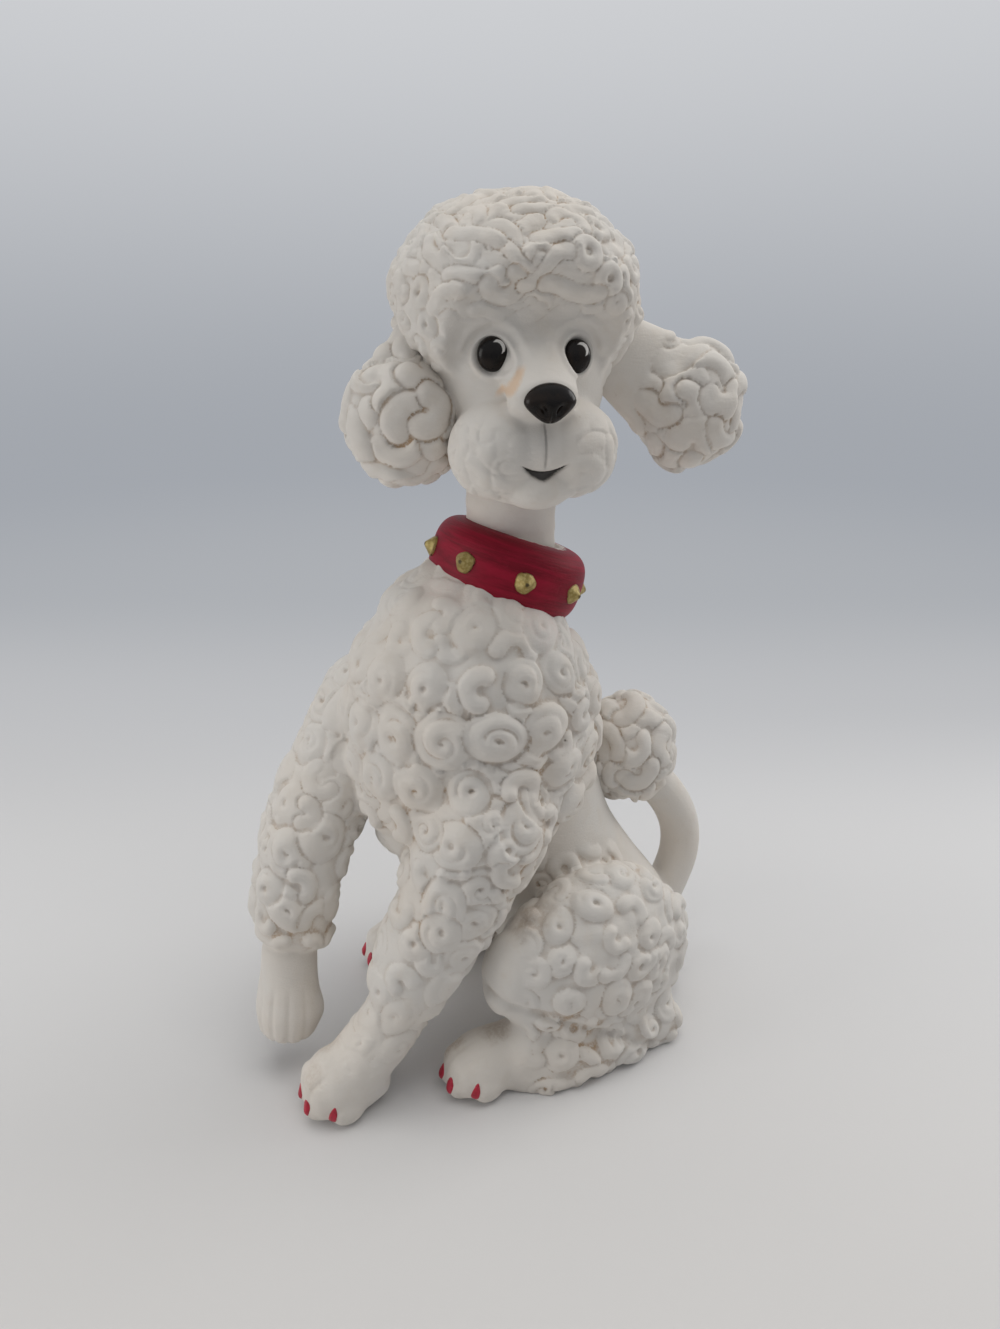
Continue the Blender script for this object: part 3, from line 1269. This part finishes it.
def painted_face(place, paint):
    """The smile, black along its upper edge and grey below, the thin line above it, and the
    streak that ran from the corner of an eye."""
    side = place.along((math.cos(HEAD_TURN), math.sin(HEAD_TURN), 0), HEAD_PLACE)
    rise = place.along((0, 0, 1), HEAD_PLACE)
    ahead = place.along((math.sin(HEAD_TURN), -math.cos(HEAD_TURN), 0), HEAD_PLACE)
    ahead_brow = ahead.between(18, 22)
    ahead = ahead.between(28, 34)
    ragged = (place.noise(1.1, 2) - 0.5) * 0.7
    off_streak = (side - rise * 0.54 + 2.3 + ragged * 1.5).maths("ABSOLUTE")
    streak = off_streak.between(1.9, 0.4) * rise.between(-20, -16.5) * rise.between(-8, -11) * ahead_brow
    paint = (streak * 0.42).blend(paint, (0.76, 0.40, 0.12, 1))
    side = side.maths("ABSOLUTE")
    share = side / SMILE_HALF
    below = share * share * SMILE_ARCH - (SMILE_DROP + SMILE_ARCH) - rise + ragged
    above = rise - share.maths("POWER", 1.5) * SMILE_DEPTH + (SMILE_DROP + SMILE_DEPTH) + ragged
    smile = (below + 0.3).between(0, 0.5) * (above + 0.2).between(0, 0.7) * side.between(8.6, 7.8) * ahead
    tone = below.between(1.3, 0.2).blend((0.17, 0.16, 0.155, 1), (0.018, 0.015, 0.014, 1))
    line = (side + ragged * 0.5).between(0.6, 0.2) * rise.between(-42, -39) * rise.between(-24, -28) * ahead
    paint = (line * 0.45).blend(paint, (0.22, 0.20, 0.19, 1))
    return (smile * 0.94).blend(paint, tone)


head_bisque = painted_bisque(
    "head_bisque",
    [
        (in_head(np.array([-5.0, -33, -15.5])), 4.5, (0.74, 0.46, 0.26), 0.35),
        (in_head(np.array([7.0, -28, -12])), 5, (0.74, 0.44, 0.22), 0.5),
        (in_head(np.array([0, -20, -56])), 17, PINK, 0.5),
    ],
    painted_face,
)
piece(
    "head_and_topknot",
    head_points,
    head.faces.tolist(),
    head_bisque,
    "bisque",
    ["head_casting", "topknot"],
    cavity=head_cavity,
)


# Eyes and nose: knobs with a thick black glaze. Each eye has a white crescent painted on it
# at the upper right, and the nose has two comma-shaped nostrils.
def black_glaze(name, lights=()):
    """Brown-black gloss, with crescents of white paint given as two discs: in the first and not
    in the second."""
    material, shader, wire = new_material(name)
    place = wire.place()
    depth = place.noise(5, 2)
    paint = depth.between(0.4, 0.7).blend((0.006, 0.0045, 0.004, 1), (0.016, 0.010, 0.007, 1))
    gloss = 0.16 + place.noise(2.2, 3) * 0.10
    for disc, hidden, radius in lights:
        ragged = (place.noise(0.8, 2) - 0.5) * 0.5
        shown = (place.distance(disc) + ragged).between(radius + 0.15, radius - 0.15)
        shown = shown * (place.distance(hidden) + ragged).between(radius - 0.1, radius + 0.2)
        paint = shown.blend(paint, (0.80, 0.78, 0.75, 1))
        gloss = gloss + shown * 0.3
    feed(shader, Base_Color=paint, Roughness=gloss, Specular_IOR_Level=0.2)
    feed(shader, Normal=bumps(place.noise(1.6, 2), 0.12, 0.5))
    return material


EYE_SIZE = (10.3, 7, 11.2)
for word, hand in (("right", -1), ("left", 1)):
    centre = np.array([hand * EYE_ASIDE, -26.5, EYE_RISE - 0.6 * hand])
    light = in_head(centre + (1.6, -3.2, 2.6))
    shade = in_head(centre + (0.2, -3.4, 1.6))
    material = black_glaze(f"{word}_eye_glaze", [(light, shade, 2.4)])
    rings = in_head(egg(centre, EYE_SIZE, around=72, rows=48))
    piece(f"{word}_eye_knob", *pole_mesh(rings), material, "black_glaze", [f"{word}_eye"])

# The nose narrows downwards, and a groove runs up from its foot between the nostrils
NOSE_PLACE, NOSE_WIDE, NOSE_DEEP, NOSE_TALL = (0, -46, -19.6), 17, 9, 12.5
nose = egg((0, 0, 0), (2, 2, 2), around=120, rows=90)
nx, ny, nz = (nose[..., k].copy() for k in range(3))
narrow = 1 - 0.34 * between(-nz, -0.15, 1.0)
nose = np.stack([nx * NOSE_WIDE / 2 * narrow, ny * NOSE_DEEP / 2, nz * NOSE_TALL / 2], -1)
for hand in (-1, 1):
    comma = np.hypot((nx - hand * (0.42 + 0.25 * nz)) / 0.16, (nz + 0.30) / 0.26)
    nose[..., 1] += 1.6 * bell(comma, 1) * (ny < 0)
nose[..., 1] += 0.5 * bell(nx, 0.07) * between(-nz, 0.1, 0.5) * (ny < 0)
nose_glaze = black_glaze("nose_glaze")
piece("nose_knob", *pole_mesh(in_head(nose + NOSE_PLACE)), nose_glaze, "black_glaze", ["nose"])


# Ears: a smooth flap comes from under the topknot and swells into a pompon of broad flat
# lobes, each pressed over the next.
EAR_THICK, EAR_WIDE, EAR_POMPON = 15, 27, (42, 39, 48)


def ear_curl(flat, place, rng):
    """A broad flat C of clay."""
    return bent_rope(flat, rng, (0.08, 0.2), (12, 19), (4.2, 5.6), 3.0)


def make_ear(word, hand, root, tip, seed):
    """The flap and pompon of one ear, in the head's frame: a loft into a lobed egg."""
    top, tip = np.array([hand * root, 0, 0.0]), np.array(tip, float)
    stations = [
        (*(top + along * (tip - top)), thick * EAR_THICK / 2, wide * EAR_WIDE / 2)
        for along, thick, wide in [(0, 1, 0.8), (0.5, 1, 1.2), (0.85, 1.4, 1.45)]
    ]
    pompon_form = lobed(tip, EAR_POMPON, POMPON_LOBES, LOBE_SWELL)
    ear = Skin([loft(stations, side=(0, 1, 0)), pompon_form], voxel=0.7)
    rng = np.random.default_rng(seed)
    ear.relax(6, 0.5)
    ear.fill(26, 0.5)
    on_pompon = between(-np.linalg.norm((ear.points - tip) / np.add(EAR_POMPON, 1), axis=1), -0.62, -0.5)
    height = carve(ear, on_pompon > 0.2, 9.6, ear_curl, rng, overlap=1.2, crack=1.7, bed=1.3)
    height += 0.2 * ripple(ear.points, 8.0, rng)
    cavity = ear.dress(on_pompon, height, sink=2.2)
    ear.relax(1, 0.15)
    shape = in_head(ear.points), ear.faces.tolist()
    piece(f"{word}_ear_pompon", *shape, head_bisque, "bisque", [f"{word}_ear"], cavity=cavity)


make_ear("right", -1, 30, (-40.4, -4, -29), 21)
make_ear("left", 1, 25, (66.5, 0, -27), 22)


# Nails: almonds of thick crimson paint on the fronts of the toes.
NAIL_WIDTH, NAIL_LENGTH, NAIL_PROUD, NAIL_TILT = 4.6, 8.4, 0.7, math.radians(18)
NAIL_AHEAD, NAIL_DROP, NAIL_SIDES = 7.5, 0.9, 40
nail_paint, shader, wire = new_material("crimson_nail")
place = wire.place()
mottle = place.noise(1.8, 4, 0.6)
red = mottle.between(0.3, 0.7).blend((0.38, 0.003, 0.022, 1), (0.52, 0.012, 0.045, 1))
chip = place.noise(2.6, 3, 0.7).between(0.70, 0.74)
feed(
    shader,
    Base_Color=chip.blend(red, (0.66, 0.60, 0.56, 1)),
    Roughness=0.28 + mottle * 0.2,
    Normal=bumps(mottle, 0.3, 0.6),
)


def nails(words, skin, ball, width):
    """Four nails laid on a paw's skin: rings about each toe's front, dropped onto the nearest
    skin, and domed over it."""
    tree = BVHTree.FromPolygons(skin.points.tolist(), skin.faces.tolist())
    ring = np.concatenate([[0], np.linspace(0.12, 1, 9), [1.04, 0.5, 0]])
    dome = NAIL_PROUD * np.sqrt(1 - np.linspace(0, 0.995, 10) ** 2)
    lift = np.repeat(np.concatenate([dome, [-0.5, -0.8, -0.8]]), NAIL_SIDES)
    turn = full_turn(NAIL_SIDES)
    taper = 1 - 0.32 * np.clip(np.sin(turn), 0, 1) ** 2
    aside = ring[:, None] * np.cos(turn) * taper * NAIL_WIDTH / 2
    rise = ring[:, None] * np.sin(turn) * NAIL_LENGTH / 2
    cos, sin = math.cos(NAIL_TILT), math.sin(NAIL_TILT)
    back, up = rise * sin - NAIL_AHEAD * cos, rise * cos + NAIL_AHEAD * sin - NAIL_DROP
    flat = np.stack([aside, back, up], -1).reshape(-1, 3)
    for number, (centre, angle) in enumerate(toe_centres(ball, width)):
        laid = []
        for spot, proud in zip(turned(flat + centre, np.array(centre), angle), lift):
            hit, normal, _, _ = tree.find_nearest(Vector(spot))
            laid.append(np.array(hit) + proud * np.array(normal))
        rings = np.array(laid).reshape(len(ring), NAIL_SIDES, 3)
        item = f"{words}_nail_{number + 1}"
        piece(f"{item}_paint", *pole_mesh(rings[::-1]), nail_paint, "crimson_paint", [item])


nails("left_fore", coat, FORE_BALL, FORE_WIDTH)
nails("left_hind", hind, LEFT_HIND_BALL, HIND_GIRTH)
nails("right_hind", hind, RIGHT_HIND_BALL, HIND_GIRTH)
